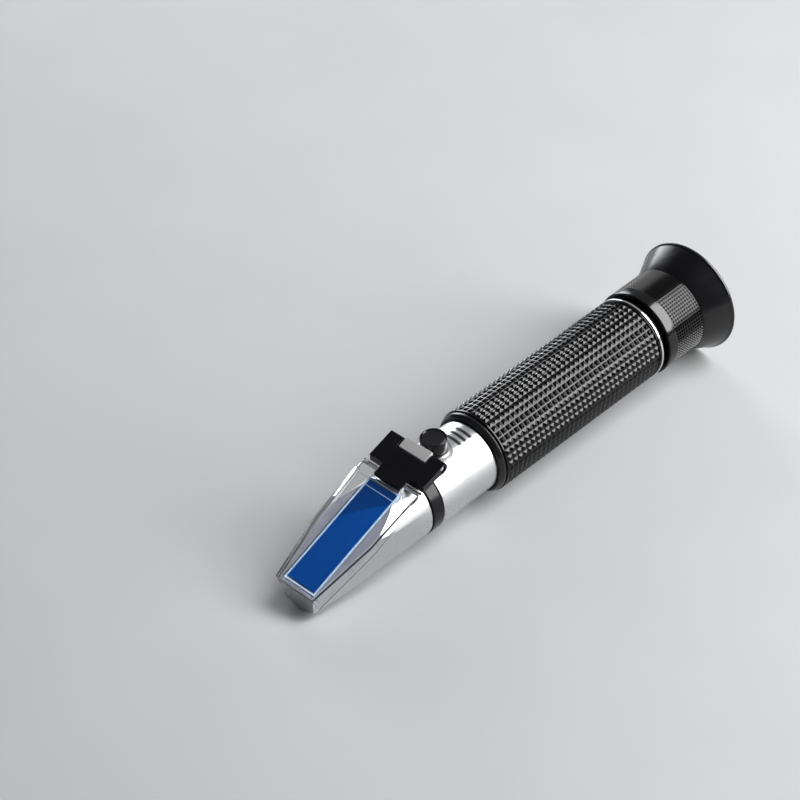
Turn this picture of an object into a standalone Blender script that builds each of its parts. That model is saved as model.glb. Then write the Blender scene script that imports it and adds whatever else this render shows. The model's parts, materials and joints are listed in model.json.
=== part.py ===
"""Hand-held sugar refractometer for brewing and winemaking.

The instrument is built about its optical axis: +X runs from the prism end to
the eyepiece, +Z is the prism's side, and X = 0 is the rear face of the grip.
Everything hangs on one empty, which lays the instrument down as it rests on a
table: on the rim of its eyecup and on the underside of its front body.
All lengths in the tables below are millimetres; MM turns them into metres.
"""
import bpy
import bmesh
from math import pi, sin, cos, tan, atan2, asin, sqrt, radians
from mathutils import Vector, Matrix

MM = 0.001

# ---- driving dimensions (mm) -------------------------------------------------
GAP = 0.3                     # clearance between neighbouring solids
SEG = 48                      # facets round the outside
SEG_IN = 32                   # facets round inner parts

FRONT_X = -146.0              # front end of the prism body
BODY_R = 11.5                 # front body radius
BODY_END = -101.6             # shoulder behind the front body
SPIGOT_R = 9.8
SPIGOT_END = -94.0
LIGHT_BORE_R = 6.0

PRISM_SLOPE = 0.4026          # rise of the prism face per mm along the axis
PRISM_REF = (-112.0, 9.9)     # a point of the prism face (x, height)
PRISM_X0, PRISM_X1 = -144.4, -109.9
PRISM_HALF_W = 5.35
SEAL_IN, SEAL_OUT = 5.65, 6.15
SEAL_RECESS = 6.45
SIDE_TAPER_X = -127.0         # the sides draw in from here to the front
SIDE_HALF_W = 9.2
SIDE_HALF_FRONT = 6.2

RING_X0, RING_X1 = -101.3, -97.1   # hinge bracket ring
RING_R = 11.75
PAD_HALF_W = 5.2
PAD_TOP = 12.7

HINGE = (-96.3, 15.75)        # pin axis (x, height)
PIN_R = 0.8
FLAP_HALF_W = 10.85
FLAP_TOP_REF = (-95.0, 17.6)
FLAP_SLOPE = 0.344
FLAP_FRONT = -104.6
TONGUE_FRONT = -108.6
TONGUE_HALF_W = 5.25
KNUCKLE = (-98.2, -94.5, 5.3)  # x0, x1, half width
PLATE_PIN = (-106.7, 12.72)
PLATE_PIN_R = 0.4

PLATE_GAP = 0.4               # under the clear plate, square to the prism face
PLATE_T = 1.7
PLATE_REAR = -108.9
PLATE_FRONT = -146.6
FLANGE_T = 0.9
KNEE_X, KNEE_HALF_W = -126.0, 10.9   # where the plate's sides start to draw in
PLATE_FRONT_HALF_W = 7.55

BARREL_X0, BARREL_X1 = -96.8, -69.6
BARREL_R = 11.67
BARREL_BORE = 10.2
CAP_X = -88.9
BOSS_R = 5.0
BOSS_TOP = 12.5
CAP_R, CAP_TOP, CAP_BOTTOM = 4.1, 16.9, 12.85
BUSH_R = 2.55

COLLAR_X0, COLLAR_X1 = -73.9, -72.0
GRIP_X0, GRIP_X1 = -71.7, -1.1
GRIP_R = 13.9
TUBE_X0, TUBE_X1 = -82.0, 13.3
TUBE_R, TUBE_BORE = 9.8, 9.0

FOCUS_X0, FOCUS_X1 = 2.4, 18.8
FOCUS_R = 14.4
CUP_R = 18.75
CUP_X1 = 28.9

LAY_TILT = asin((CUP_R - BODY_R) / (28.6 - FRONT_X))   # axis above the table


def prism_h(x, off=0.0):
    """Height of the prism face at x, moved off mm square to the face."""
    return PRISM_REF[1] + PRISM_SLOPE * (x - PRISM_REF[0]) + off * sqrt(1 + PRISM_SLOPE ** 2)


def flap_top(x):
    return FLAP_TOP_REF[1] + FLAP_SLOPE * (x - FLAP_TOP_REF[0])


# ---- scene -------------------------------------------------------------------
for ob in list(bpy.data.objects):
    bpy.data.objects.remove(ob, do_unlink=True)

parts = bpy.data.collections.new("refractometer")
cutters = bpy.data.collections.new("cutters")
bpy.context.scene.collection.children.link(parts)
bpy.context.scene.collection.children.link(cutters)

rig = bpy.data.objects.new("optical_axis", None)
parts.objects.link(rig)

MATS = {}


def material(name, color, rough, metal, transmission=0.0):
    if name in MATS:
        return MATS[name]
    m = bpy.data.materials.new(name)
    m.use_nodes = True
    b = m.node_tree.nodes["Principled BSDF"]
    b.inputs["Base Color"].default_value = (*color, 1)
    b.inputs["Roughness"].default_value = rough
    b.inputs["Metallic"].default_value = metal
    b.inputs["Transmission Weight"].default_value = transmission
    MATS[name] = m
    return m


CHROME = ("polished_chrome", (0.80, 0.80, 0.82), 0.08, 1.0)
SATIN = ("satin_steel", (0.50, 0.50, 0.52), 0.35, 1.0)
BRASS = ("brass", (0.72, 0.53, 0.25), 0.3, 1.0)
ANOD = ("black_anodised", (0.020, 0.020, 0.022), 0.4, 0.6)
BLACKP = ("black_plastic", (0.022, 0.022, 0.025), 0.45, 0.0)
RUBBER = ("grip_rubber", (0.035, 0.035, 0.037), 0.6, 0.0)
CUPRUB = ("eyecup_rubber", (0.015, 0.015, 0.017), 0.5, 0.0)
GLASS = ("optical_glass", (0.92, 0.96, 0.97), 0.03, 0.0, 0.9)
PRISMG = ("prism_glass", (0.005, 0.075, 0.28), 0.05, 0.0, 0.3)
CLEAR = ("clear_acrylic", (0.88, 0.90, 0.92), 0.06, 0.0, 0.9)
SEALM = ("seal_cement", (0.45, 0.50, 0.56), 0.5, 0.0)
BIMETAL = ("bimetal", (0.62, 0.52, 0.42), 0.35, 1.0)


def place(ob, coll=parts):
    coll.objects.link(ob)
    ob.parent = rig
    if coll is cutters:
        ob.hide_render = True
        ob.display_type = 'WIRE'
    return ob


def mesh_object(name, bm, mat=None, coll=parts):
    me = bpy.data.meshes.new(name)
    bm.to_mesh(me)
    bm.free()
    ob = bpy.data.objects.new(name, me)
    if mat is not None:
        me.materials.append(material(*mat))
    return place(ob, coll)


def smooth(ob, angle=32):
    ob.data.shade_smooth()
    ob.data.set_sharp_from_angle(angle=radians(angle))


def turned(name, loop, mat=None, segs=SEG, coll=parts, axis='X', at=(0.0, 0.0, 0.0), solid=False):
    """Screw a profile of (station, radius) points about an axis.

    A closed loop makes a ring or tube. With solid=True the profile is an open
    line from the axis back to the axis, in order of rising station.
    """
    pts = list(loop)
    if solid:
        pts = pts[::-1]
    else:
        area = sum(a[0] * b[1] - b[0] * a[1] for a, b in zip(pts, pts[1:] + pts[:1]))
        if area < 0:
            pts = pts[::-1]
    bm = bmesh.new()
    vs = [bm.verts.new((r * MM, 0, s * MM)) for s, r in pts]
    pairs = list(zip(vs, vs[1:]))
    if not solid:
        pairs.append((vs[-1], vs[0]))
    for a, b in pairs:
        bm.edges.new((a, b))
    ob = mesh_object(name, bm, mat, coll)
    sc = ob.modifiers.new("turn", 'SCREW')
    sc.angle = 2 * pi
    sc.steps = segs
    sc.render_steps = segs
    sc.axis = 'Z'
    sc.use_merge_vertices = True
    sc.merge_threshold = 0.00001
    sc.use_smooth_shade = True
    if axis == 'X':
        ob.rotation_euler = (0, pi / 2, 0)
    elif axis == 'Y':
        ob.rotation_euler = (-pi / 2, 0, 0)
    ob.location = [v * MM for v in at]
    return ob


def tube(x0, x1, r0, r1, c=0.0):
    """Loop of a plain ring, with its outer corners chamfered by c."""
    if c:
        return [(x0, r0), (x0, r1 - c), (x0 + c, r1), (x1 - c, r1), (x1, r1 - c), (x1, r0)]
    return [(x0, r0), (x0, r1), (x1, r1), (x1, r0)]


def cylinder(name, r, s0, s1, mat=None, segs=SEG_IN, coll=parts, axis='X', at=(0, 0, 0)):
    """A cylinder primitive from s0 to s1 along an axis through at."""
    bm = bmesh.new()
    bmesh.ops.create_cone(bm, cap_ends=True, segments=segs, radius1=r * MM, radius2=r * MM,
                          depth=(s1 - s0) * MM)
    bmesh.ops.translate(bm, vec=(0, 0, (s0 + s1) / 2 * MM), verts=bm.verts)
    ob = mesh_object(name, bm, mat, coll)
    if axis == 'X':
        ob.rotation_euler = (0, pi / 2, 0)
    elif axis == 'Y':
        ob.rotation_euler = (-pi / 2, 0, 0)
    ob.location = [v * MM for v in at]
    return ob


def box(name, x, y, z, mat=None, coll=parts, rot_y=0.0, at=(0, 0, 0)):
    """A box between pairs of limits, turned about Y and moved to at."""
    bm = bmesh.new()
    bmesh.ops.create_cube(bm, size=1.0)
    bmesh.ops.scale(bm, vec=((x[1] - x[0]) * MM, (y[1] - y[0]) * MM, (z[1] - z[0]) * MM), verts=bm.verts)
    bmesh.ops.translate(bm, vec=((x[0] + x[1]) / 2 * MM, (y[0] + y[1]) / 2 * MM, (z[0] + z[1]) / 2 * MM),
                        verts=bm.verts)
    ob = mesh_object(name, bm, mat, coll)
    ob.rotation_euler = (0, rot_y, 0)
    ob.location = [v * MM for v in at]
    return ob


def outline(name, pts, y0, y1, mat=None, coll=parts):
    """A flat outline of (x, height) points, filled and extruded from y0 to y1."""
    cu = bpy.data.curves.new(name, 'CURVE')
    cu.dimensions = '2D'
    cu.fill_mode = 'BOTH'
    cu.extrude = (y1 - y0) / 2 * MM
    cu.resolution_u = 1
    cu.render_resolution_u = 0
    sp = cu.splines.new('POLY')
    sp.points.add(len(pts) - 1)
    for p, (x, h) in zip(sp.points, pts):
        p.co = (x * MM, h * MM, 0, 1)
    sp.use_cyclic_u = True
    tmp = bpy.data.objects.new(name + "_curve", cu)
    bpy.context.scene.collection.objects.link(tmp)
    bpy.context.view_layer.update()
    deps = bpy.context.evaluated_depsgraph_get()
    me = bpy.data.meshes.new_from_object(tmp.evaluated_get(deps))
    bpy.data.objects.remove(tmp, do_unlink=True)
    bpy.data.curves.remove(cu)
    me.name = name
    bm = bmesh.new()
    bm.from_mesh(me)
    bmesh.ops.remove_doubles(bm, verts=bm.verts, dist=0.000001)
    # local XY of the curve -> XZ of the instrument
    bmesh.ops.rotate(bm, cent=(0, 0, 0), matrix=Matrix.Rotation(pi / 2, 3, 'X'), verts=bm.verts)
    bmesh.ops.translate(bm, vec=(0, (y0 + y1) / 2 * MM, 0), verts=bm.verts)
    bmesh.ops.recalc_face_normals(bm, faces=bm.faces)
    bm.to_mesh(me)
    bm.free()
    ob = bpy.data.objects.new(name, me)
    me.materials.clear()
    if mat is not None:
        me.materials.append(material(*mat))
    return place(ob, coll)


def boolean(ob, cutter, op='DIFFERENCE'):
    m = ob.modifiers.new(op.lower(), 'BOOLEAN')
    m.operation = op
    m.object = cutter
    m.solver = 'EXACT'
    return m


FACE_ANGLE = -atan2(PRISM_SLOPE, 1.0)       # turn about Y that lays +X along the prism face


# ---- front body and prism ------------------------------------------------------
front = turned("front_body",
               [(FRONT_X, 0.0), (FRONT_X, BODY_R - 0.8), (FRONT_X + 0.8, BODY_R), (BODY_END, BODY_R),
                (BODY_END, SPIGOT_R), (SPIGOT_END, SPIGOT_R), (SPIGOT_END, 0.0)],
               CHROME, solid=True)
# everything above the prism face comes off
face_cut = box("cut_face", (-60, 18), (-20, 20), (0, 30), coll=cutters, rot_y=FACE_ANGLE,
               at=(PRISM_REF[0], 0, PRISM_REF[1]))
boolean(front, face_cut)
# the two sides draw in towards the front
taper = atan2(SIDE_HALF_W - SIDE_HALF_FRONT, SIDE_TAPER_X - FRONT_X)
for s, nm in ((1, "left"), (-1, "right")):
    for x, ang, part in (((-40, 0.5), taper, "front"),
                         ((-0.5, 20), atan2(BODY_R - SIDE_HALF_W, 19.0), "rear")):
        c = box("cut_side_%s_%s" % (part, nm), x, (0, 20) if s > 0 else (-20, 0), (-30, 30), coll=cutters)
        c.rotation_euler = (0, 0, s * ang)
        c.location = (SIDE_TAPER_X * MM, s * SIDE_HALF_W * MM, 0)
        boolean(front, c)
# pocket of the prism, and the shallow recess of its seal
prism_low = [(PRISM_X1, 2.0), (-139.0, -6.2)]
pocket = outline("cut_pocket",
                 [(PRISM_X0 - GAP, prism_h(PRISM_X0 - GAP, 2.0)), (PRISM_X1 + GAP, prism_h(PRISM_X1 + GAP, 2.0)),
                  (PRISM_X1 + GAP, 2.0 - GAP * 1.3), (-139.0 - GAP * 0.5, -6.2 - GAP * 1.2),
                  (PRISM_X0 - GAP, prism_h(PRISM_X0 - GAP, -0.35))],
                 -PRISM_HALF_W - GAP, PRISM_HALF_W + GAP, coll=cutters)
boolean(front, pocket)
face_len0 = (PRISM_X0 - PRISM_REF[0]) / cos(FACE_ANGLE)
face_len1 = (PRISM_X1 - PRISM_REF[0]) / cos(FACE_ANGLE)
recess = box("cut_recess", (face_len0 - 1.1, face_len1 + 1.1), (-SEAL_RECESS, SEAL_RECESS), (-1.35, 3),
             coll=cutters, rot_y=FACE_ANGLE, at=(PRISM_REF[0], 0, PRISM_REF[1]))
boolean(front, recess)
bore = cylinder("cut_light_bore", LIGHT_BORE_R, -114.0, -90.0, coll=cutters)
boolean(front, bore)

prism = outline("measuring_prism",
                [(PRISM_X0, prism_h(PRISM_X0, 0.15)), (PRISM_X1, prism_h(PRISM_X1, 0.15)),
                 (PRISM_X1, 2.0), (-139.0, -6.2)],
                -PRISM_HALF_W, PRISM_HALF_W, PRISMG)

seal = box("prism_seal", (face_len0 - 0.8, face_len1 + 0.8), (-SEAL_OUT, SEAL_OUT), (-1.05, -0.05),
           SEALM, rot_y=FACE_ANGLE, at=(PRISM_REF[0], 0, PRISM_REF[1]))
seal_cut = box("cut_seal_window", (face_len0 - 0.35, face_len1 + 0.35), (-SEAL_IN, SEAL_IN), (-3, 3),
               coll=cutters, rot_y=FACE_ANGLE, at=(PRISM_REF[0], 0, PRISM_REF[1]))
boolean(seal, seal_cut)

# ---- hinge bracket, knuckle and pin ----------------------------------------------
bracket = turned("hinge_bracket", tube(RING_X0, RING_X1, SPIGOT_R + GAP, RING_R), BLACKP)
pad = box("join_pad", (RING_X0, -94.6), (-PAD_HALF_W, PAD_HALF_W), (BARREL_R + 0.35, PAD_TOP), coll=cutters)
pad_foot = box("join_pad_foot", (RING_X0, RING_X1), (-PAD_HALF_W, PAD_HALF_W), (10.6, PAD_TOP - 0.2), coll=cutters)
boolean(bracket, pad_foot, 'UNION')
boolean(bracket, pad, 'UNION')

knuckle = outline("hinge_knuckle",
                  [(KNUCKLE[0], PAD_TOP + GAP), (KNUCKLE[1], PAD_TOP + GAP),
                   (KNUCKLE[1], flap_top(KNUCKLE[1])), (KNUCKLE[0], flap_top(KNUCKLE[0]))],
                  -KNUCKLE[2], KNUCKLE[2], SATIN)
pin_hole = cylinder("cut_pin_hole", PIN_R + GAP, -15, 15, coll=cutters, segs=16, axis='Y',
                    at=(HINGE[0], 0, HINGE[1]))
boolean(knuckle, pin_hole)

hinge_pin = cylinder("hinge_pin", PIN_R, -10.7, 10.7, SATIN, segs=16, axis='Y', at=(HINGE[0], 0, HINGE[1]))

# ---- the lid: black hinge block with the clear daylight plate -----------------------
ear_r = 1.95
arc = [(HINGE[0] + ear_r * cos(a), HINGE[1] + ear_r * sin(a))
       for a in [radians(105 - i * 195 / 9) for i in range(10)]]
lid_pts = [(TONGUE_FRONT, flap_top(TONGUE_FRONT)), (HINGE[0] - 1.2, flap_top(HINGE[0] - 1.2))] + arc + \
          [(-98.5, 13.85), (FLAP_FRONT, 11.95), (TONGUE_FRONT, 11.80)]
lid = outline("hinge_block", lid_pts, -FLAP_HALF_W, FLAP_HALF_W, BLACKP)
notch = box("cut_knuckle_notch", (KNUCKLE[0] - 0.4, -90), (-KNUCKLE[2] - 0.35, KNUCKLE[2] + 0.35), (8, 25), coll=cutters)
boolean(lid, notch)
for s, nm in ((1, "left"), (-1, "right")):
    y = (TONGUE_HALF_W, 20) if s > 0 else (-20, -TONGUE_HALF_W)
    c = box("cut_tongue_" + nm, (-120, FLAP_FRONT), y, (5, 25), coll=cutters)
    boolean(lid, c)
boolean(lid, pin_hole)
plate_pin_hole = cylinder("cut_plate_pin_hole", PLATE_PIN_R + 0.25, -15, 15, coll=cutters, segs=12, axis='Y',
                          at=(PLATE_PIN[0], 0, PLATE_PIN[1]))
boolean(lid, plate_pin_hole)

plate_pin = cylinder("plate_pin", PLATE_PIN_R, -11.2, 11.2, SATIN, segs=12, axis='Y',
                     at=(PLATE_PIN[0], 0, PLATE_PIN[1]))

# clear plate: a slab over the prism whose flanges hug the sides of the front body
u0 = (PLATE_FRONT - PRISM_REF[0]) / cos(FACE_ANGLE)
u1 = (PLATE_REAR - PRISM_REF[0]) / cos(FACE_ANGLE)
plate = box("daylight_plate", (u0, u1), (-11.6, 11.6), (-4.6, PLATE_GAP + PLATE_T), CLEAR,
            rot_y=FACE_ANGLE, at=(PRISM_REF[0], 0, PRISM_REF[1]))
# lugs that reach back on both sides of the tongue
lug_top = PLATE_PIN[1] + 0.95
for s, nm in ((1, "left"), (-1, "right")):
    y = (TONGUE_HALF_W + 0.35, 11.6) if s > 0 else (-11.6, -TONGUE_HALF_W - 0.35)
    lug = box("join_lug_" + nm, (-3.8, 1.15), y, (-0.9, 0.9), coll=cutters, rot_y=FACE_ANGLE,
              at=(PLATE_PIN[0], 0, PLATE_PIN[1]))
    boolean(plate, lug, 'UNION')
# sides: nearly parallel at the rear, drawn in towards the front
out_taper = atan2(KNEE_HALF_W - PLATE_FRONT_HALF_W, KNEE_X - PLATE_FRONT)
rear_taper = atan2(0.6, 20.0)


def draw_in(ob, tag, inset):
    """Cut both sides of ob to the plate's outline, moved in by inset."""
    for s, nm in ((1, "left"), (-1, "right")):
        for x, ang, part in (((-60, 0.5), out_taper, "front"), ((-0.5, 60), rear_taper, "rear")):
            c = box("cut_%s_%s_%s" % (tag, part, nm), x, (0, 20) if s > 0 else (-20, 0), (-40, 40), coll=cutters)
            c.rotation_euler = (0, 0, s * ang)
            c.location = (KNEE_X * MM, s * (KNEE_HALF_W - inset) * MM, 0)
            boolean(ob, c)


draw_in(plate, "plate", 0.0)
# channel under the plate, a little wider than the front body
inner = box("cut_channel", (u0 - 5, u1 + 5), (-12.5, 12.5), (-12, PLATE_GAP), coll=cutters,
            rot_y=FACE_ANGLE, at=(PRISM_REF[0], 0, PRISM_REF[1]))
draw_in(inner, "channel", FLANGE_T)
boolean(plate, inner)
# flanges are shallow at the rear and deeper at the front
skirt = box("cut_skirt", (-60, 30), (-20, 20), (-30, 0), coll=cutters,
            rot_y=FACE_ANGLE - radians(5.0), at=(-112.0, 0, prism_h(-112.0, -1.0)))
boolean(plate, skirt)
boolean(plate, plate_pin_hole)

# ---- barrel with its calibration boss -------------------------------------------------
barrel = turned("barrel", tube(BARREL_X0, BARREL_X1, BARREL_BORE, BARREL_R, 0.25), CHROME)
boss = turned("join_boss", [(8.2, 0.0), (8.2, BOSS_R + 0.9), (11.0, BOSS_R + 0.9), (11.5, BOSS_R + 0.35), (BOSS_TOP - 0.35, BOSS_R),
                            (BOSS_TOP, BOSS_R - 0.4), (BOSS_TOP, 0.0)], coll=cutters, segs=32, axis='Z',
              at=(CAP_X, 0, 0), solid=True)
boss_floor = cylinder("cut_boss_floor", BARREL_BORE + 0.7, CAP_X - 12, CAP_X + 12, coll=cutters, segs=40)
boolean(boss, boss_floor)
boss_hole = cylinder("cut_boss_hole", BUSH_R + GAP, 5, 20, coll=cutters, segs=24, axis='Z', at=(CAP_X, 0, 0))
boolean(barrel, boss, 'UNION')
boolean(barrel, boss_hole)

bushing = turned("calibration_bushing",
                 [(10.4, 1.9), (10.4, BUSH_R), (BOSS_TOP + 0.6, BUSH_R), (BOSS_TOP + 0.6, 2.9),
                  (14.3, 2.9), (14.3, 1.9)], BRASS, segs=24, axis='Z', at=(CAP_X, 0, 0))
screw = turned("calibration_screw",
               [(10.0, 0.0), (10.0, 1.1), (10.5, 1.55), (14.0, 1.55), (14.0, 0.0)], BRASS, segs=24,
               axis='Z', at=(CAP_X, 0, 0), solid=True)
slot = box("cut_screw_slot", (-2, 2), (-0.3, 0.3), (13.2, 16), coll=cutters, at=(CAP_X, 0, 0))
boolean(screw, slot)
cap = turned("calibration_cap",
             [(CAP_BOTTOM, 3.25), (CAP_BOTTOM, CAP_R - 0.15), (CAP_BOTTOM + 0.3, CAP_R), (CAP_TOP - 0.35, CAP_R),
              (CAP_TOP, CAP_R - 0.3), (CAP_TOP, CAP_R - 0.75), (CAP_TOP - 0.45, CAP_R - 0.95),
              (CAP_TOP - 0.45, 0.0), (15.2, 0.0), (15.2, 3.25)][::-1], CUPRUB, segs=32, axis='Z',
             at=(CAP_X, 0, 0))

# ---- objective, carried on the adjuster --------------------------------------------------
carrier = turned("lens_carrier", [(-91.5, 6.9), (-91.5, 9.0), (-84.0, 9.0), (-84.0, 5.9), (-85.0, 5.9), (-85.0, 6.9)],
                 ANOD, segs=SEG_IN)


def lens(name, x0, x1, r, front, rear, mat=GLASS, n=5, segs=SEG_IN):
    """A lens between stations x0 and x1 at its rim, bulging by front and rear at its centre."""
    pts = [(x0 - front * (1 - (i / n) ** 2), r * i / n) for i in range(n + 1)]
    pts += [(x1 + rear * (1 - (i / n) ** 2), r * i / n) for i in range(n, -1, -1)]
    return turned(name, pts, mat, segs=segs, solid=True)


objective = lens("objective_lens", -88.3, -86.1, 6.6, 0.9, 0.6)
lens_ring = turned("objective_retainer", tube(-91.2, -89.0, 5.6, 6.6), ANOD, segs=SEG_IN)
bimetal = box("bimetal_strip", (-83.7, -72.0), (-2.0, 2.0), (-8.1, -7.5), BIMETAL)

# ---- grip and inner tube ---------------------------------------------------------------------
inner_tube = turned("inner_tube", tube(TUBE_X0, TUBE_X1, TUBE_BORE, TUBE_R), ANOD)
key_hole = cylinder("cut_key_hole", 0.9, 7, 12, coll=cutters, segs=12, axis='Z', at=(4.0, 0, 0))
boolean(inner_tube, key_hole)
collar = turned("front_collar", [(COLLAR_X0, BARREL_R + 0.35), (COLLAR_X0, 12.6), (COLLAR_X0 + 1.1, 13.3),
                                 (COLLAR_X1, 13.5), (COLLAR_X1, BARREL_R + 0.35)], BLACKP)
grip = turned("grip_sleeve", [(GRIP_X0, BARREL_R + 0.35), (GRIP_X0, GRIP_R - 0.35), (GRIP_X0 + 0.4, GRIP_R),
                              (GRIP_X1, GRIP_R), (GRIP_X1, TUBE_R + GAP), (BARREL_X1 + GAP, TUBE_R + GAP),
                              (BARREL_X1 + GAP, BARREL_R + 0.35)], RUBBER)
end_ring = turned("grip_end_ring", tube(-0.8, 0.0, TUBE_R + GAP, GRIP_R, 0.15), CHROME)
dust_seal = turned("dust_seal", tube(0.3, 2.1, TUBE_R + GAP, 12.4), BLACKP)

# ---- reticle --------------------------------------------------------------------------------
reticle_holder = turned("reticle_holder", [(-24.0, 7.0), (-24.0, 8.7), (-16.0, 8.7), (-16.0, 7.9), (-21.0, 7.9),
                                           (-21.0, 7.0)], ANOD, segs=SEG_IN)
reticle = cylinder("reticle_disc", 7.6, -20.7, -19.2, GLASS)
reticle_ring = turned("reticle_retainer", tube(-18.9, -16.4, 6.8, 7.6), ANOD, segs=SEG_IN)

# ---- eyepiece ----------------------------------------------------------------------------------
cell = turned("ocular_cell", [(0.0, 7.4), (0.0, 8.7), (14.9, 8.7), (14.9, 9.5), (16.2, 9.5), (16.2, 7.4),
                              (1.6, 7.4), (1.6, 6.4), (0.6, 6.4), (0.6, 7.4)][:8] + [(0.0, 6.4)], ANOD, segs=SEG_IN)
key_slot = box("cut_key_slot", (0.4, 6.6), (-1.0, 1.0), (7.9, 12), coll=cutters)
boolean(cell, key_slot)
key = cylinder("guide_pin", 0.6, 8.2, 9.7, SATIN, segs=12, axis='Z', at=(4.0, 0, 0))
field_lens = lens("field_lens", 2.9, 4.4, 7.1, 0.9, 0.0, n=4, segs=24)
spacer = turned("lens_spacer", tube(4.9, 8.8, 6.3, 7.1), ANOD, segs=24)
eye_lens = lens("eye_lens", 10.2, 12.2, 7.1, 0.9, 0.8, n=4, segs=24)
retainer = turned("ocular_retainer", tube(13.6, 15.6, 5.9, 7.1), ANOD, segs=SEG_IN)

focus = turned("focus_ring", [(FOCUS_X0, 12.8), (FOCUS_X0, FOCUS_R - 0.3), (FOCUS_X0 + 0.3, FOCUS_R),
                              (FOCUS_X1, FOCUS_R), (FOCUS_X1, 13.35), (17.9, 13.35), (17.9, 8.0), (16.5, 8.0),
                              (16.5, TUBE_R + GAP + 0.1), (5.6, TUBE_R + GAP + 0.1), (5.6, 12.8)], RUBBER)
eyecup = turned("eyecup", [(18.2, 8.6), (18.2, 13.0), (19.1, 13.0), (19.1, 14.2), (21.0, 15.25), (24.0, 16.75),
                           (27.7, 18.3), (28.3, 18.65), (28.6, CUP_R), (CUP_X1, 18.5), (CUP_X1, 18.1), (28.6, 17.8),
                           (27.2, 17.15), (24.5, 15.85), (22.0, 14.3), (20.9, 12.6), (20.3, 10.5), (19.9, 8.6)], CUPRUB)

# ---- lay the instrument on the table ---------------------------------------------------------------
# Turned about Y so that the eyepiece end stands higher, with the front body's
# lower front edge and the rim of the eyecup both at Z = 0.
rig.rotation_euler = (0, -LAY_TILT, 0)
bpy.context.view_layer.update()
deps = bpy.context.evaluated_depsgraph_get()
lo = Vector((1e9, 1e9, 1e9))
hi = Vector((-1e9, -1e9, -1e9))
for ob in parts.objects:
    if ob.type != 'MESH':
        continue
    ev = ob.evaluated_get(deps)
    me = ev.to_mesh()
    for v in me.vertices:
        p = ob.matrix_world @ v.co
        for i in range(3):
            lo[i] = min(lo[i], p[i])
            hi[i] = max(hi[i], p[i])
    ev.to_mesh_clear()
rig.location = (-(lo.x + hi.x) / 2, -(lo.y + hi.y) / 2, -lo.z)
bpy.context.view_layer.update()

for ob in parts.objects:
    if ob.type == 'MESH':
        smooth(ob)
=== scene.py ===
"""Looks of the hand-held refractometer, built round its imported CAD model."""
import bpy
import bmesh
import json
from math import pi, sin, cos, tan, atan2, sqrt, radians
from mathutils import Vector, Matrix


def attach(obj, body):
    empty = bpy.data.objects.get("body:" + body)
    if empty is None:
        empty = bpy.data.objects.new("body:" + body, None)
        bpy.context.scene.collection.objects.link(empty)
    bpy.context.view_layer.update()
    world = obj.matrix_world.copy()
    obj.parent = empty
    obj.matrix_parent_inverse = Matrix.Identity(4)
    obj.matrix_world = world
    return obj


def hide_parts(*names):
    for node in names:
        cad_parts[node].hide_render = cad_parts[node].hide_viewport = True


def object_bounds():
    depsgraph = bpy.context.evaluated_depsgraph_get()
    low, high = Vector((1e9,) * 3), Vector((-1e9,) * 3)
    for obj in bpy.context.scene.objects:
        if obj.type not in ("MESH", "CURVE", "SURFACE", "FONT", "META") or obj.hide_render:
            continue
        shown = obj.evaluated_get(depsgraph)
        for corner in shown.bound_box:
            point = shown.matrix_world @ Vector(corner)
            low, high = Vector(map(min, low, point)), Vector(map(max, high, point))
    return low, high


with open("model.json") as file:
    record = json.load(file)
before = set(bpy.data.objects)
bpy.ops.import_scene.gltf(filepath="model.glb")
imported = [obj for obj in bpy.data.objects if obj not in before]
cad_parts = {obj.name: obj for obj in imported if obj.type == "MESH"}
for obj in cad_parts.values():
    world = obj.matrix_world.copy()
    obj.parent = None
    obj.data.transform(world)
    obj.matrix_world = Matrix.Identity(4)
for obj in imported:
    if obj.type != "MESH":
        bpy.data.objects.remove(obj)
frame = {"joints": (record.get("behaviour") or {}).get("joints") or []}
cad_lo, cad_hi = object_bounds()
scene = bpy.context.scene
MM = 0.001

# ---- the instrument's own axes, read from the joints ---------------------------
joints = {j["name"]: j for j in frame["joints"]}
ax_x = Vector(joints["eyepiece_travel"]["axis"]).normalized()
ax_z = Vector(joints["calibration_cap_pull"]["axis"]).normalized()
ax_y = ax_z.cross(ax_x).normalized()
ROT = Matrix((ax_x, ax_y, ax_z)).transposed()
HINGE = (-96.3, 15.75)
origin = Vector(joints["lid_hinge"]["pos_m"]) - ROT @ Vector((HINGE[0] * MM, 0, HINGE[1] * MM))
RIG = Matrix.Translation(origin) @ ROT.to_4x4()

# ---- dimensions in mm, X along the optical axis, h towards the prism's side ------
GAP = 0.3
FRONT_X, BODY_R, BODY_END, SPIGOT_R, SPIGOT_END = -146.0, 11.5, -101.6, 9.8, -94.0
PRISM_SLOPE, PRISM_REF = 0.4026, (-112.0, 9.9)
PRISM_X0, PRISM_X1, PRISM_HALF_W = -144.4, -109.9, 5.35
SEAL_IN, SEAL_OUT, SEAL_RECESS = 5.65, 6.15, 6.45
SIDE_TAPER_X, SIDE_HALF_W, SIDE_HALF_FRONT = -127.0, 9.2, 6.2
PAD_HALF_W, PAD_TOP = 5.2, 12.7
PIN_R = 0.8
FLAP_HALF_W = 10.85
FLAP_FRONT, TONGUE_FRONT, TONGUE_HALF_W = -104.6, -108.6, 5.25
KNUCKLE = (-98.2, -94.5, 5.3)
PLATE_PIN, PLATE_PIN_R = (-106.7, 12.72), 0.4
PLATE_GAP, PLATE_T, PLATE_REAR, PLATE_FRONT = 0.4, 1.7, -108.9, -146.6
FLANGE_T, KNEE_X, KNEE_HALF_W, PLATE_FRONT_HALF_W = 0.9, -126.0, 10.9, 7.55
BARREL_R, BARREL_BORE = 11.67, 10.2
CAP_X, BOSS_R, BOSS_TOP = -88.9, 5.0, 12.5
BUSH_R = 2.55
TUBE_R, TUBE_BORE = 9.8, 9.0
GRIP_R = 13.9
FOCUS_R = 14.4
CUP_R = 18.75
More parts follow.
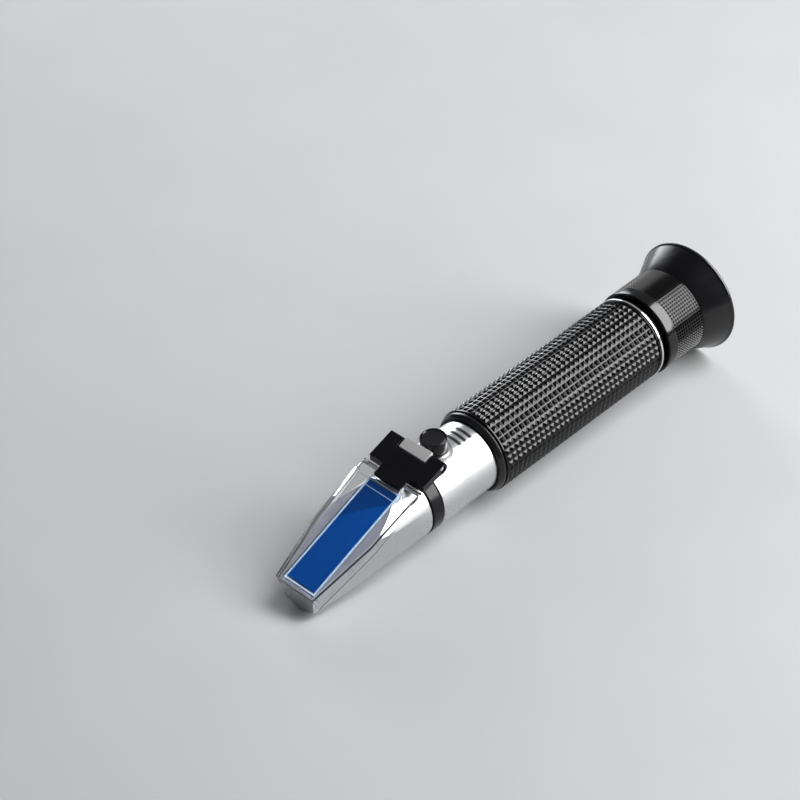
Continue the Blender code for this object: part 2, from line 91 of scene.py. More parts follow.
FACE_ANGLE = -atan2(PRISM_SLOPE, 1.0)


def prism_h(x, off=0.0):
    return PRISM_REF[1] + PRISM_SLOPE * (x - PRISM_REF[0]) + off * sqrt(1 + PRISM_SLOPE ** 2)


def flap_top(x):
    return 17.6 + 0.344 * (x + 95.0)


# ================================ materials =====================================
class Mat:
    """A Principled material whose detail comes from noises in the piece's own metres."""

    def __init__(self, name, color, metallic=0.0, rough=0.4, **sockets):
        self.m = bpy.data.materials.new(name)
        self.m.use_nodes = True
        self.nt = self.m.node_tree
        self.b = next(n for n in self.nt.nodes if n.type == 'BSDF_PRINCIPLED')
        self.out = next(n for n in self.nt.nodes if n.type == 'OUTPUT_MATERIAL')
        self.color = color
        self.b.inputs["Base Color"].default_value = (*color, 1)
        self.b.inputs["Metallic"].default_value = metallic
        self.b.inputs["Roughness"].default_value = rough
        for k, v in sockets.items():
            self.b.inputs[k.replace("_", " ")].default_value = v
        self.tc = self.nt.nodes.new("ShaderNodeTexCoord")
        self.normal = None
        self.m.diffuse_color = (*color, 1)

    def node(self, kind, **props):
        n = self.nt.nodes.new(kind)
        for k, v in props.items():
            setattr(n, k, v)
        return n

    def link(self, a, b):
        self.nt.links.new(a, b)

    def coords(self, stretch=(1, 1, 1), turn=(0, 0, 0)):
        mp = self.node("ShaderNodeMapping")
        mp.inputs["Scale"].default_value = stretch
        mp.inputs["Rotation"].default_value = turn
        self.link(self.tc.outputs["Object"], mp.inputs["Vector"])
        return mp.outputs["Vector"]

    def noise(self, feature_mm, detail=3.0, rough=0.55, stretch=(1, 1, 1), turn=(0, 0, 0)):
        n = self.node("ShaderNodeTexNoise")
        n.inputs["Scale"].default_value = 1000.0 / feature_mm
        n.inputs["Detail"].default_value = detail
        n.inputs["Roughness"].default_value = rough
        self.link(self.coords(stretch, turn), n.inputs["Vector"])
        return n.outputs["Fac"]

    def remap(self, value, lo, hi, a=0.3, b=0.7):
        r = self.node("ShaderNodeMapRange")
        r.inputs["From Min"].default_value = a
        r.inputs["From Max"].default_value = b
        r.inputs["To Min"].default_value = lo
        r.inputs["To Max"].default_value = hi
        self.link(value, r.inputs["Value"])
        return r.outputs["Result"]

    def math(self, op, a, b=0.0, clamp=False):
        n = self.node("ShaderNodeMath", operation=op, use_clamp=clamp)
        for i, v in enumerate((a, b)):
            if isinstance(v, (int, float)):
                n.inputs[i].default_value = v
            else:
                self.link(v, n.inputs[i])
        return n.outputs[0]

    def mix(self, fac, a, b, blend='MIX'):
        n = self.node("ShaderNodeMix", data_type='RGBA', blend_type=blend)
        if isinstance(fac, (int, float)):
            n.inputs[0].default_value = fac
        else:
            self.link(fac, n.inputs[0])
        for i, v in ((6, a), (7, b)):
            if isinstance(v, tuple):
                n.inputs[i].default_value = (*v, 1)
            else:
                self.link(v, n.inputs[i])
        return n.outputs[2]

    def bump(self, height, distance_mm, strength=1.0):
        n = self.node("ShaderNodeBump")
        n.inputs["Strength"].default_value = strength
        n.inputs["Distance"].default_value = distance_mm * MM
        self.link(height, n.inputs["Height"])
        if self.normal is not None:
            self.link(self.normal, n.inputs["Normal"])
        self.normal = n.outputs["Normal"]
        self.link(self.normal, self.b.inputs["Normal"])
        return self

    def pointiness(self, lo, hi):
        g = self.node("ShaderNodeNewGeometry")
        return self.remap(g.outputs["Pointiness"], 0.0, 1.0, lo, hi)

    def set(self, socket, value):
        self.link(value, self.b.inputs[socket])
        return self


def tones(m, dark, light, feature_mm, **kw):
    """Base colour drifting between two tones."""
    f = m.noise(feature_mm, **kw)
    c = m.mix(m.remap(f, 0.0, 1.0), dark, light)
    m.set("Base Color", c)
    return c


def make_chrome(name, color=(0.56, 0.565, 0.575), lo=0.25, hi=0.29):
    m = Mat(name, color, 1.0, 0.06)
    tones(m, tuple(c * 0.94 for c in color), color, 9.0)
    smudge = m.noise(8.0, detail=3.0)
    fine = m.noise(0.25, detail=2.0, stretch=(6, 0.4, 0.4))
    m.set("Roughness", m.math('ADD', m.remap(smudge, lo, hi), m.remap(fine, 0.0, 0.03)))
    m.bump(m.noise(0.12, detail=2.0, stretch=(5, 0.25, 0.25)), 0.0006, 0.35)
    return m


def make_black(name, color, rough, grain_mm, grain_depth, wear_and_highlight=(0.05, 0.05, 0.055), spec=0.5, wear_and_highlight_from=(0.52, 0.62)):
    """Black moulded plastic or rubber: fine grain, paler at sharp edges from rubbing wear and a painted edge highlight,
    uneven sheen.
    """
    m = Mat(name, color, 0.0, rough)
    m.b.inputs["Specular IOR Level"].default_value = spec
    f = m.noise(6.0, detail=3.0)
    base = m.mix(m.remap(f, 0.0, 1.0), tuple(c * 0.85 for c in color), tuple(c * 1.15 for c in color))
    # paler sharp edges: rubbing wear together with a painted edge highlight
    rub_and_highlight = m.math('MULTIPLY', m.pointiness(*wear_and_highlight_from), m.remap(m.noise(1.2, detail=4.0), 0.35, 1.0))
    m.set("Base Color", m.mix(rub_and_highlight, base, wear_and_highlight))
    m.set("Roughness", m.remap(m.noise(7.0, detail=2.0), rough - 0.02, rough + 0.03))
    m.bump(m.noise(grain_mm, detail=3.0, rough=0.7), grain_depth, 0.6)
    return m


def stripes(m, x_mm, width_mm, y_mm):
    """Short plain bars of ink across the top of the barrel."""
    sep = m.node("ShaderNodeSeparateXYZ")
    m.link(m.tc.outputs["Object"], sep.inputs[0])
    x, y, z = sep.outputs

    def within(v, a, b):
        mid, half = (a + b) / 2 * MM, (b - a) / 2 * MM
        off = m.math('ABSOLUTE', m.math('SUBTRACT', v, mid))
        return m.remap(off, 1.0, 0.0, half - 0.03 * MM, half + 0.03 * MM)

    bars = None
    for c in x_mm:
        w = within(x, c - width_mm / 2, c + width_mm / 2)
        bars = w if bars is None else m.math('MAXIMUM', bars, w)
    mask = m.math('MULTIPLY', bars, within(y, *y_mm))
    return m.math('MULTIPLY', mask, m.math('GREATER_THAN', z, 0.0))


CHROME = make_chrome("polished_chrome")
BARREL_CHROME = make_chrome("barrel_chrome")
tone = tones(BARREL_CHROME, (0.53, 0.535, 0.545), (0.56, 0.565, 0.575), 9.0)
ink = stripes(BARREL_CHROME, (-81.4, -79.2, -77.0), 1.1, (-3.6, 2.4))
BARREL_CHROME.set("Base Color", BARREL_CHROME.mix(ink, tone, (0.004, 0.004, 0.005)))
BARREL_CHROME.set("Metallic", BARREL_CHROME.remap(ink, 1.0, 0.0, 0.0, 1.0))
RING_CHROME = make_chrome("ring_chrome", (0.62, 0.63, 0.645), 0.12, 0.18)

GROUND = Mat("ground_metal", (0.46, 0.46, 0.49), 0.35, 0.42)
tones(GROUND, (0.22, 0.22, 0.262), (0.275, 0.275, 0.325), 3.0, detail=4.0)
GROUND.set("Roughness", GROUND.remap(GROUND.noise(1.5), 0.36, 0.48))
GROUND.bump(GROUND.noise(0.10, detail=3.0, rough=0.8), 0.006, 0.6)

SATIN = Mat("satin_steel", (0.60, 0.60, 0.61), 0.35, 0.34)
tones(SATIN, (0.41, 0.41, 0.415), (0.50, 0.50, 0.505), 0.5, detail=3.0, stretch=(2.5, 0.08, 2.5))
SATIN.set("Roughness", SATIN.remap(SATIN.noise(0.35, stretch=(2, 0.1, 2)), 0.30, 0.42))
SATIN.bump(SATIN.noise(0.16, detail=2.0, stretch=(3, 0.06, 3)), 0.003, 0.5)

PIN_STEEL = Mat("pin_steel", (0.66, 0.66, 0.67), 1.0, 0.2)
tones(PIN_STEEL, (0.58, 0.58, 0.59), (0.70, 0.70, 0.71), 0.8)
PIN_STEEL.set("Roughness", PIN_STEEL.remap(PIN_STEEL.noise(0.4), 0.14, 0.28))
PIN_STEEL.bump(PIN_STEEL.noise(0.1, detail=2.0), 0.001, 0.4)

BRASS = Mat("turned_brass", (0.70, 0.49, 0.22), 1.0, 0.25)
tones(BRASS, (0.60, 0.40, 0.17), (0.74, 0.53, 0.25), 1.2, detail=4.0)
BRASS.set("Roughness", BRASS.remap(BRASS.noise(0.8), 0.18, 0.34))
BRASS.bump(BRASS.noise(0.12, stretch=(0.3, 0.3, 4)), 0.002, 0.5)

BIMETAL = Mat("bimetal", (0.60, 0.50, 0.40), 1.0, 0.33)
tones(BIMETAL, (0.52, 0.43, 0.33), (0.66, 0.56, 0.46), 0.8, stretch=(0.2, 2, 2))
BIMETAL.bump(BIMETAL.noise(0.15, stretch=(0.1, 3, 3)), 0.002, 0.5)

# the tuple after the grain depth is each black's paler edge colour: rubbing wear and painted edge highlight
ANOD = make_black("black_anodised", (0.012, 0.012, 0.013), 0.36, 0.12, 0.002, (0.10, 0.10, 0.11), 0.6)
HINGE_BLACK = make_black("hinge_plastic", (0.0048, 0.0046, 0.0060), 0.22, 0.25, 0.0015, (0.012, 0.012, 0.014), 0.34, (0.53, 0.62))
BRACKET_BLACK = make_black("bracket_black", (0.004, 0.004, 0.005), 0.24, 0.2, 0.0015, (0.012, 0.012, 0.014), 0.16)
COLLAR_BLACK = make_black("collar_black", (0.007, 0.007, 0.0078), 0.24, 0.2, 0.0015, (0.02, 0.02, 0.022), 0.42)
GRIP_RUBBER = make_black("grip_rubber", (0.0010, 0.0010, 0.0012), 0.14, 0.16, 0.0008, (0.002, 0.002, 0.0023), 0.23, (0.53, 0.62))
FOCUS_RUBBER = make_black("focus_rubber", (0.0014, 0.0014, 0.0016), 0.15, 0.16, 0.0008, (0.002, 0.002, 0.0023), 0.28, (0.53, 0.62))
CUP_RUBBER = make_black("eyecup_rubber", (0.0030, 0.0030, 0.0037), 0.26, 0.2, 0.0012, (0.01, 0.01, 0.012), 0.42, (0.53, 0.60))
CAP_RUBBER = make_black("cap_rubber", (0.0032, 0.0032, 0.0042), 0.16, 0.2, 0.001, (0.008, 0.008, 0.009), 0.26, (0.53, 0.60))

SEAL = Mat("seal_cement", (0.36, 0.46, 0.58), 0.0, 0.3)
tones(SEAL, (0.30, 0.40, 0.53), (0.44, 0.54, 0.65), 1.5, detail=4.0)
SEAL.set("Roughness", SEAL.remap(SEAL.noise(0.8), 0.22, 0.40))
SEAL.bump(SEAL.noise(0.5, detail=3.0), 0.02, 0.5)


def make_glass(name, tint, rough=0.02, ior=1.5, shadow=0.9):
    """Clear glass that lets light and shadow through."""
    m = Mat(name, tint, 0.0, rough)
    m.b.inputs["Transmission Weight"].default_value = 1.0
    m.b.inputs["IOR"].default_value = ior
    m.set("Roughness", m.remap(m.noise(4.0, detail=4.0), rough * 0.6, rough * 2.2))
    m.set("Base Color", m.mix(m.remap(m.noise(6.0), 0.0, 1.0), tuple(c * 0.985 for c in tint), tint))
    m.bump(m.noise(2.0, detail=2.0), 0.002, 0.3)
    lp = m.node("ShaderNodeLightPath")
    tr = m.node("ShaderNodeBsdfTransparent")
    tr.inputs["Color"].default_value = (tint[0] * shadow, tint[1] * shadow, tint[2] * shadow, 1)
    mx = m.node("ShaderNodeMixShader")
    m.link(lp.outputs["Is Shadow Ray"], mx.inputs[0])
    m.link(m.b.outputs[0], mx.inputs[1])
    m.link(tr.outputs[0], mx.inputs[2])
    m.link(mx.outputs[0], m.out.inputs["Surface"])
    return m


CLEAR = make_glass("clear_acrylic", (0.97, 0.985, 1.0), 0.015, 1.49, 0.92)
LENS = make_glass("lens_glass", (0.95, 0.985, 0.97), 0.01, 1.52, 0.92)

# the prism: deep blue glass, with painted shade: navy behind a curved line at its rear
PRISM = Mat("prism_glass", (0.0, 0.055, 0.25), 0.0, 0.05)
PRISM.b.inputs["Specular IOR Level"].default_value = 0.5
PRISM.b.inputs["Coat Weight"].default_value = 0.1
PRISM.b.inputs["Coat Roughness"].default_value = 0.02
sep = PRISM.node("ShaderNodeSeparateXYZ")
PRISM.link(PRISM.tc.outputs["Object"], sep.inputs[0])
px = PRISM.math('MULTIPLY', sep.outputs[0], 1000.0)
py = PRISM.math('MULTIPLY', sep.outputs[1], 1000.0)
# the line runs through (-123.5, 4.7), (-118.9, 1.0), (-115.0, -3.8)
curve = PRISM.math('ADD', PRISM.math('MULTIPLY', py, -0.99), PRISM.math('MULTIPLY', PRISM.math('MULTIPLY', py, py), -0.022))
edge = PRISM.math('SUBTRACT', PRISM.math('SUBTRACT', px, -118.1), curve)
# painted shade: mask of the navy region behind the curved line, mixed into the blue below
prism_painted_shade = PRISM.remap(edge, 0.0, 1.0, -0.15, 0.35)
grad = PRISM.remap(px, 0.0, 1.0, -146.0, -112.0)
blue = PRISM.mix(grad, (0.0, 0.037, 0.190), (0.0, 0.042, 0.212))
blue = PRISM.mix(PRISM.remap(PRISM.noise(7.0, detail=2.0), 0.0, 0.35), blue, (0.0, 0.045, 0.20))
PRISM.set("Base Color", PRISM.mix(PRISM.math('MULTIPLY', prism_painted_shade, 0.8), blue, (0.0, 0.022, 0.105)))
PRISM.set("Roughness", PRISM.remap(PRISM.noise(3.0, detail=4.0), 0.03, 0.09))
PRISM.bump(PRISM.noise(2.5, detail=2.0), 0.001, 0.3)

FLOOR = Mat("floor", (0.36, 0.365, 0.373), 0.0, 0.75)
tones(FLOOR, (0.355, 0.36, 0.368), (0.37, 0.375, 0.383), 60.0)


# ================================ mesh helpers ====================================
def new_object(name, bm):
    me = bpy.data.meshes.new(name)
    bm.to_mesh(me)
    bm.free()
    ob = bpy.data.objects.new("v_" + name, me)
    scene.collection.objects.link(ob)
    return ob


def soft(pts, r=0.2, n=4, closed=True):
    """Round a profile's corners by r (a number, or one per point)."""
    out, m = [], len(pts)
    for i, p in enumerate(pts):
        rad = r[i] if isinstance(r, (list, tuple)) else r
        if rad <= 0 or (not closed and i in (0, m - 1)):
            out.append(tuple(p))
            continue
        c = Vector(p)
        u, v = Vector(pts[i - 1]) - c, Vector(pts[(i + 1) % m]) - c
        lu, lv = u.length, v.length
        u.normalize()
        v.normalize()
        ang = u.angle(v)
        if ang > radians(174) or ang < radians(3):
            out.append(tuple(p))
            continue
        t = min(rad / tan(ang / 2), 0.48 * lu, 0.48 * lv)
        a, b = c + u * t, c + v * t
        for k in range(n + 1):
            s = k / n
            q = a * (1 - s) ** 2 + c * 2 * s * (1 - s) + b * s * s
            out.append((q.x, q.y))
    return out


def ring_point(axis, at, s, r, a):
    if axis == 'X':
        return Vector(((at[0] + s) * MM, (at[1] + r * sin(a)) * MM, (at[2] + r * cos(a)) * MM))
    if axis == 'Y':
        return Vector(((at[0] + r * sin(a)) * MM, (at[1] + s) * MM, (at[2] + r * cos(a)) * MM))
    return Vector(((at[0] + r * cos(a)) * MM, (at[1] + r * sin(a)) * MM, (at[2] + s) * MM))


def lathe(name, prof, segs=160, axis='X', at=(0, 0, 0), solid=False):
    """Turn (station, radius) points about an axis: a closed loop, or with solid a line from axis to axis."""
    bm = bmesh.new()
    rings = []
    for s, r in prof:
        if r < 1e-6:
            rings.append([bm.verts.new(ring_point(axis, at, s, 0, 0))])
        else:
            rings.append([bm.verts.new(ring_point(axis, at, s, r, 2 * pi * k / segs)) for k in range(segs)])
    pairs = list(zip(rings, rings[1:]))
    if not solid:
        pairs.append((rings[-1], rings[0]))
    for a, b in pairs:
        if len(a) == 1 and len(b) == 1:
            continue
        for k in range(segs):
            j = (k + 1) % segs
            if len(a) == 1:
                bm.faces.new((a[0], b[j], b[k]))
            elif len(b) == 1:
                bm.faces.new((a[k], a[j], b[0]))
            else:
                bm.faces.new((a[k], a[j], b[j], b[k]))
    bmesh.ops.recalc_face_normals(bm, faces=bm.faces)
    return new_object(name, bm)


def slab(name, pts, y0, y1):
    """(x, h) outline, extruded from y0 to y1."""
    bm = bmesh.new()
    a = [bm.verts.new((x * MM, y0 * MM, h * MM)) for x, h in pts]
    b = [bm.verts.new((x * MM, y1 * MM, h * MM)) for x, h in pts]
    n = len(pts)
    for i in range(n):
        j = (i + 1) % n
        bm.faces.new((a[i], a[j], b[j], b[i]))
    bm.faces.new(a)
    bm.faces.new(b)
    bmesh.ops.recalc_face_normals(bm, faces=bm.faces)
    return new_object(name, bm)


def block(name, x, y, z, rot_y=0.0, at=(0, 0, 0), rot_z=0.0):
    """A box between limits, turned and moved; used for cutting and joining."""
    bm = bmesh.new()
    bmesh.ops.create_cube(bm, size=1.0)
    bmesh.ops.scale(bm, vec=((x[1] - x[0]) * MM, (y[1] - y[0]) * MM, (z[1] - z[0]) * MM), verts=bm.verts)
    bmesh.ops.translate(bm, vec=((x[0] + x[1]) / 2 * MM, (y[0] + y[1]) / 2 * MM, (z[0] + z[1]) / 2 * MM), verts=bm.verts)
    m = Matrix.Translation([v * MM for v in at]) @ Matrix.Rotation(rot_z, 4, 'Z') @ Matrix.Rotation(rot_y, 4, 'Y')
    bmesh.ops.transform(bm, matrix=m, verts=bm.verts)
    return new_object(name, bm)


def rod(name, r, s0, s1, axis='X', at=(0, 0, 0), segs=64):
    return lathe(name, [(s0, 0), (s0, r), (s1, r), (s1, 0)], segs, axis, at, solid=True)


def settle(ob):
    """Turn an object and its modifiers into a plain mesh."""
    bpy.context.view_layer.update()
    dg = bpy.context.evaluated_depsgraph_get()
    me = bpy.data.meshes.new_from_object(ob.evaluated_get(dg))
    me.name = ob.name
    ob.modifiers.clear()
    ob.data = me
    return ob


def cut(ob, *cutters, op='DIFFERENCE'):
    for c in cutters:
        m = ob.modifiers.new(op, 'BOOLEAN')
        m.operation, m.object, m.solver = op, c, 'EXACT'
    settle(ob)
    for c in cutters:
        bpy.data.objects.remove(c, do_unlink=True)
    return ob


def tidy(ob, dist=0.012, planar=0.25):
    bm = bmesh.new()
    bm.from_mesh(ob.data)
    bmesh.ops.remove_doubles(bm, verts=bm.verts, dist=dist * MM)
    bmesh.ops.dissolve_degenerate(bm, edges=bm.edges, dist=dist * MM)
    bmesh.ops.dissolve_limit(bm, angle_limit=radians(planar), verts=bm.verts, edges=bm.edges)
    bm.to_mesh(ob.data)
    bm.free()
    return ob


def bevel(ob, width, segs=3, angle=30, clamp=True):
    m = ob.modifiers.new("bevel", 'BEVEL')
    m.width, m.segments, m.limit_method, m.angle_limit = width * MM, segs, 'ANGLE', radians(angle)
    m.use_clamp_overlap = clamp
    m.miter_outer = 'MITER_ARC'
    return settle(ob)


def round_edges(ob, width, segs=3, angle=30, longer=0.5, keep=None):
    """Round the long sharp edges of a cut body and leave the short ones that meet in its corners."""
    bm = bmesh.new()
    bm.from_mesh(ob.data)
    picked = []
    for e in bm.edges:
        if len(e.link_faces) == 2 and e.calc_face_angle(0.0) > radians(angle) and e.calc_length() > longer * MM:
            if keep is None or keep(e):
                picked.append(e)
    bmesh.ops.bevel(bm, geom=picked, offset=width * MM, offset_type='OFFSET', segments=segs, profile=0.5,
                    affect='EDGES', clamp_overlap=True)
    bm.to_mesh(ob.data)
    bm.free()
    return ob


def piece(ob, body, mat, nodes=None, angle=34, flat_first=False):
    """Finish a piece: shading, place, body, CAD node it stands for."""
    me = ob.data
    me.shade_smooth()
    me.set_sharp_from_angle(angle=radians(angle))
    if flat_first:
        w = ob.modifiers.new("normals", 'WEIGHTED_NORMAL')
        w.keep_sharp, w.weight, w.mode = True, 80, 'FACE_AREA'
        settle(ob)
        me = ob.data
    me.materials.clear()
    for m in (mat if isinstance(mat, (list, tuple)) else [mat]):
        me.materials.append(m.m)
    node = ob.name[2:]
    ob.matrix_world = RIG
    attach(ob, body)
    for n in ([node] if nodes is None else nodes):
        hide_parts(n)
    return ob


# ================================ front body ========================================
def side_cuts(tag, knee_x, knee_w, front_angle, rear_angle, inset=0.0):
    cs = []
    for s in (1, -1):
        for x, ang in (((-60, 0.5), front_angle), ((-0.5, 60), rear_angle)):
            cs.append(block("cut_" + tag, x, (0, 20) if s > 0 else (-20, 0), (-40, 40),
                            at=(knee_x, s * (knee_w - inset), 0), rot_z=s * ang))
    return cs


front = lathe("front_body", soft([(FRONT_X, 0.0), (FRONT_X, BODY_R), (BODY_END, BODY_R), (BODY_END, SPIGOT_R),
                                  (SPIGOT_END, SPIGOT_R), (SPIGOT_END, 0.0)],
                                 [0, 0.9, 0.3, 0, 0.3, 0], closed=False), 192, solid=True)
pocket = slab("pocket", [(PRISM_X0 - GAP, prism_h(PRISM_X0 - GAP, 2.0)), (PRISM_X1 + GAP, prism_h(PRISM_X1 + GAP, 2.0)),
                         (PRISM_X1 + GAP, 2.0 - GAP * 1.3), (-139.0 - GAP * 0.5, -6.2 - GAP * 1.2),
                         (PRISM_X0 - GAP, prism_h(PRISM_X0 - GAP, -0.35))],
              -PRISM_HALF_W - GAP, PRISM_HALF_W + GAP)
len0 = (PRISM_X0 - PRISM_REF[0]) / cos(FACE_ANGLE)
len1 = (PRISM_X1 - PRISM_REF[0]) / cos(FACE_ANGLE)
recess = block("recess", (len0 - 1.1, len1 + 1.1), (-SEAL_RECESS, SEAL_RECESS), (-1.35, 3), rot_y=FACE_ANGLE,
               at=(PRISM_REF[0], 0, PRISM_REF[1]))
cut(front, block("c", (-60, 18), (-20, 20), (0, 30), rot_y=FACE_ANGLE, at=(PRISM_REF[0], 0, PRISM_REF[1])),
    *side_cuts("side", SIDE_TAPER_X, SIDE_HALF_W, atan2(SIDE_HALF_W - SIDE_HALF_FRONT, SIDE_TAPER_X - FRONT_X),
               atan2(BODY_R - SIDE_HALF_W, 19.0)), pocket, recess, rod("bore", 6.0, -114.0, -90.0, segs=96))
tidy(front)
round_edges(front, 0.2, 3, 24, longer=0.5)
up_face = Vector((-sin(atan2(PRISM_SLOPE, 1.0)), 0, cos(atan2(PRISM_SLOPE, 1.0))))
piece(front, "housing", [CHROME, GROUND], angle=32, flat_first=True)
ref = Vector((PRISM_REF[0] * MM, 0, PRISM_REF[1] * MM))
for p in front.data.polygons:
    if p.normal.dot(up_face) > 0.999 and abs((p.center - ref).dot(up_face)) < 0.1 * MM:
        p.material_index = 1

prism = slab("measuring_prism", [(PRISM_X0, prism_h(PRISM_X0, 0.15)), (PRISM_X1, prism_h(PRISM_X1, 0.15)),
                                 (PRISM_X1, 2.0), (-139.0, -6.2)], -PRISM_HALF_W, PRISM_HALF_W)
bevel(prism, 0.12, 2)
piece(prism, "housing", PRISM, flat_first=True)

seal = block("prism_seal", (len0 - 0.8, len1 + 0.8), (-SEAL_OUT, SEAL_OUT), (-1.05, -0.02), rot_y=FACE_ANGLE,
             at=(PRISM_REF[0], 0, PRISM_REF[1]))
cut(seal, block("w", (len0 - 0.2, len1 + 0.2), (-PRISM_HALF_W - 0.12, PRISM_HALF_W + 0.12), (-3, 3), rot_y=FACE_ANGLE,
                at=(PRISM_REF[0], 0, PRISM_REF[1])))
bevel(seal, 0.10, 3)
line = block("line", (0.18, 0.31), (-PRISM_HALF_W - 0.3, PRISM_HALF_W + 0.3), (-0.6, 0.19), rot_y=FACE_ANGLE,
             at=(PRISM_REF[0], 0, PRISM_REF[1]))
cut(seal, line, op='UNION')
piece(seal, "housing", SEAL, flat_first=True)

# ================================ hinge ================================================
bracket = lathe("hinge_bracket", soft([(-101.3, SPIGOT_R + GAP), (-101.3, 11.75), (-97.1, 11.75), (-97.1, SPIGOT_R + GAP)],
                                      [0, 0.3, 0.3, 0]), 160)
cut(bracket, block("foot", (-101.3, -97.1), (-PAD_HALF_W, PAD_HALF_W), (10.6, PAD_TOP - 0.2)),
    block("pad", (-101.3, -94.6), (-PAD_HALF_W, PAD_HALF_W), (BARREL_R + 0.35, PAD_TOP)), op='UNION')
tidy(bracket)
piece(bracket, "housing", BRACKET_BLACK, flat_first=True)

knuckle = slab("hinge_knuckle", [(KNUCKLE[0], PAD_TOP + GAP), (KNUCKLE[1], PAD_TOP + GAP),
                                 (KNUCKLE[1], flap_top(KNUCKLE[1])), (KNUCKLE[0], flap_top(KNUCKLE[0]))],
               -KNUCKLE[2], KNUCKLE[2])
bevel(knuckle, 0.28, 3)
cut(knuckle, rod("h", PIN_R + GAP, -15, 15, 'Y', (HINGE[0], 0, HINGE[1]), 48))
piece(knuckle, "housing", SATIN, flat_first=True)


def dome_pin(name, r, half, axis_at, body):
    d = 0.35 * r
    prof = [(-half, 0)] + [(-half + d * (1 - cos(t)), r * sin(t)) for t in [radians(a) for a in (20, 40, 60, 80, 90)]]
    prof += [(-s, q) for s, q in prof[:0:-1]] + [(half, 0)]
    ob = lathe(name, prof, 48, 'Y', axis_at, solid=True)
    return piece(ob, body, PIN_STEEL)


dome_pin("hinge_pin", PIN_R, 10.7, (HINGE[0], 0, HINGE[1]), "housing")

ear_r = 1.95
arc = [(HINGE[0] + ear_r * cos(a), HINGE[1] + ear_r * sin(a)) for a in [radians(61.9 - i * 151.9 / 20) for i in range(21)]]
lid_pts = [(TONGUE_FRONT, flap_top(TONGUE_FRONT))] + arc + [(-98.5, 13.85), (FLAP_FRONT, 11.95), (TONGUE_FRONT, 11.80)]
lid = slab("hinge_block", lid_pts, -FLAP_HALF_W, FLAP_HALF_W)
cut(lid, block("n", (KNUCKLE[0] - 0.4, -90), (-KNUCKLE[2] - 0.35, KNUCKLE[2] + 0.35), (8, 25)),
    block("tl", (-120, FLAP_FRONT), (TONGUE_HALF_W, 20), (5, 25)),
    block("tr", (-120, FLAP_FRONT), (-20, -TONGUE_HALF_W), (5, 25)))
tidy(lid)
bevel(lid, 0.28, 3, 30)
cut(lid, rod("h", PIN_R + GAP, -15, 15, 'Y', (HINGE[0], 0, HINGE[1]), 48),
    rod("h2", PLATE_PIN_R + 0.25, -15, 15, 'Y', (PLATE_PIN[0], 0, PLATE_PIN[1]), 32))
piece(lid, "lid", HINGE_BLACK, flat_first=True)

dome_pin("plate_pin", PLATE_PIN_R, 11.2, (PLATE_PIN[0], 0, PLATE_PIN[1]), "lid")

# ================================ clear daylight plate ====================================
FA = atan2(PRISM_SLOPE, 1.0)


def on_face(u, y, v):
    """A point u mm along the prism face from its reference point, y across it and v above it."""
    return Vector(((PRISM_REF[0] + u * cos(FA) - v * sin(FA)) * MM, y * MM, (PRISM_REF[1] + u * sin(FA) + v * cos(FA)) * MM))


def face_u(x):
    return (x - PRISM_REF[0]) / cos(FA)


def plate_half_width(u):
    x = PRISM_REF[0] + u * cos(FA)
    if x < KNEE_X:
        return KNEE_HALF_W - (KNEE_X - x) * (KNEE_HALF_W - PLATE_FRONT_HALF_W) / (KNEE_X - PLATE_FRONT)
    return KNEE_HALF_W + (x - KNEE_X) * 0.03


def plate_ring(u, inset=0.0, r=0.28):
    w = plate_half_width(u)
    low = -1.0 + tan(radians(5.0)) * u
    top, ceil = PLATE_GAP + PLATE_T, PLATE_GAP
    i = inset
    pts = [(w - i, low + i), (w - i, top - i), (-w + i, top - i), (-w + i, low + i), (-w + FLANGE_T - i, low + i),
           (-w + FLANGE_T - i, ceil + i), (w - FLANGE_T + i, ceil + i), (w - FLANGE_T + i, low + i)]
    rr = max(r - i, 0.04)
    return soft(pts, [rr * 0.8, rr, rr, rr * 0.8, rr * 0.8, rr, rr, rr * 0.8], n=4)


bm = bmesh.new()
ua, ub, uk = face_u(PLATE_FRONT), face_u(PLATE_REAR), face_u(KNEE_X)
stations = [(ua, 0.16), (ua + 0.05, 0.07), (ua + 0.16, 0.0)] + [(ua + (uk - ua) * k / 8, 0.0) for k in range(1, 8)] + \
           [(uk - 0.3, 0.0), (uk, 0.0), (uk + 0.3, 0.0)] + [(uk + (ub - uk) * k / 6, 0.0) for k in range(1, 6)] + \
           [(ub - 0.16, 0.0), (ub - 0.05, 0.07), (ub, 0.16)]
rings = [[bm.verts.new(on_face(u, y, v)) for y, v in plate_ring(u, i)] for u, i in stations]
for a, b in zip(rings, rings[1:]):
    for k in range(len(a)):
        j = (k + 1) % len(a)
        bm.faces.new((a[k], a[j], b[j], b[k]))
bm.faces.new(rings[0])
bm.faces.new(rings[-1])
bmesh.ops.recalc_face_normals(bm, faces=bm.faces)
plate = new_object("daylight_plate", bm)
pin_u = face_u(PLATE_PIN[0]) + (PLATE_PIN[1] - prism_h(PLATE_PIN[0])) * sin(FA)
pin_v = (PLATE_PIN[1] - prism_h(PLATE_PIN[0])) * cos(FA)
for s in (1, -1):
    pts = []
    for u, v in [(-3.6, -0.9)] + [(0.25 + 0.9 * sin(a), -0.9 * cos(a)) for a in [radians(d) for d in range(0, 181, 15)]] + \
            [(-3.6, 0.9)]:
        q = on_face(pin_u + u, 0, pin_v + v)
        pts.append((q.x / MM, q.z / MM))
    w = plate_half_width(ub) - 0.15
    lug = slab("lug", pts, *((TONGUE_HALF_W + 0.35, w) if s > 0 else (-w, -TONGUE_HALF_W - 0.35)))
    bevel(lug, 0.2, 3, 40)
    cut(plate, lug, op='UNION')
cut(plate, rod("h", PLATE_PIN_R + 0.25, -15, 15, 'Y', (PLATE_PIN[0], 0, PLATE_PIN[1]), 32))
piece(plate, "lid", CLEAR, flat_first=True)

# ================================ barrel and calibration ====================================
barrel = lathe("barrel", soft([(-96.8, BARREL_BORE), (-96.8, BARREL_R), (-69.6, BARREL_R), (-69.6, BARREL_BORE)],
                              [0, 0.25, 0.25, 0]), 192)


